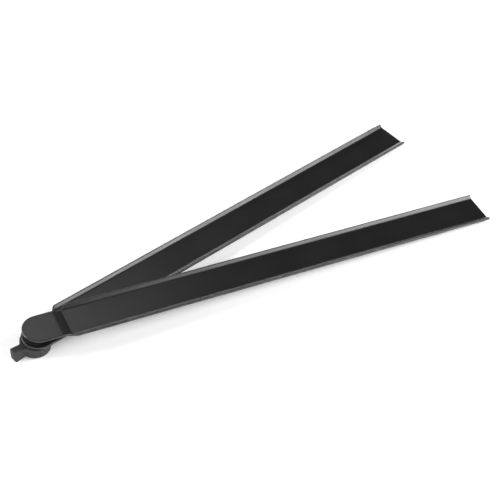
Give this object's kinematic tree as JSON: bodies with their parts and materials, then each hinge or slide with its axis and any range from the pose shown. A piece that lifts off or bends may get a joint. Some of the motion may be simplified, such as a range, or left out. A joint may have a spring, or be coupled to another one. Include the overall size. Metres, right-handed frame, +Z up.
{
  "type": "folding two-arm bracket",
  "caption": "Folding two-arm bracket: long shallow metal trough arms on one clamped pivot, opened to a narrow V, with a moulded wing knob underneath.",
  "frame": {"origin": "on the pivot axis, in the plane of the knob's flat foot", "axes": "+Z up along the pivot axis, +X along the upper arm; the lower arm stands 16.7 degrees round from it, towards +Y"},
  "size_m": [0.4305, 0.1499, 0.0208],
  "materials": {
    "arm_paint": "satin black powder coat on sheet steel",
    "stud_steel": "bright zinc",
    "spacer_nylon": "moulded black nylon",
    "fibre": "pressed fibre",
    "washer_steel": "dark zinc",
    "knob_plastic": "fine moulded grain",
    "insert_brass": "turned"
  },
  "bodies": {
    "upper_arm": {"upper_arm": "arm_paint", "pivot_stud": "stud_steel", "spacer": "spacer_nylon"},
    "lower_arm": {"lower_arm": "arm_paint", "friction_washer": "fibre"},
    "washers": {"flat_washer": "washer_steel", "wave_washer": "washer_steel"},
    "knob": {"knob_body": "knob_plastic", "knob_insert": "insert_brass"}
  },
  "joints": [
    {"name": "arm_pivot", "type": "hinge", "parent": "upper_arm", "child": "lower_arm", "pos_m": [0, 0, 0.0108], "axis": [0, 0, 1], "continuous": true},
    {"name": "knob_travel", "type": "slide", "parent": "upper_arm", "child": "washers", "axis": [0, 0, -1], "range_m": [0, 0.0015]},
    {"name": "knob_turn", "type": "hinge", "parent": "washers", "child": "knob", "pos_m": [0, 0, 0.0045], "axis": [0, 0, -1], "range_deg": [0, 540]}
  ],
  "couplings": [
    {"joint": "knob_turn", "follows": "knob_travel", "rad_per_m": 6283.2}
  ]
}
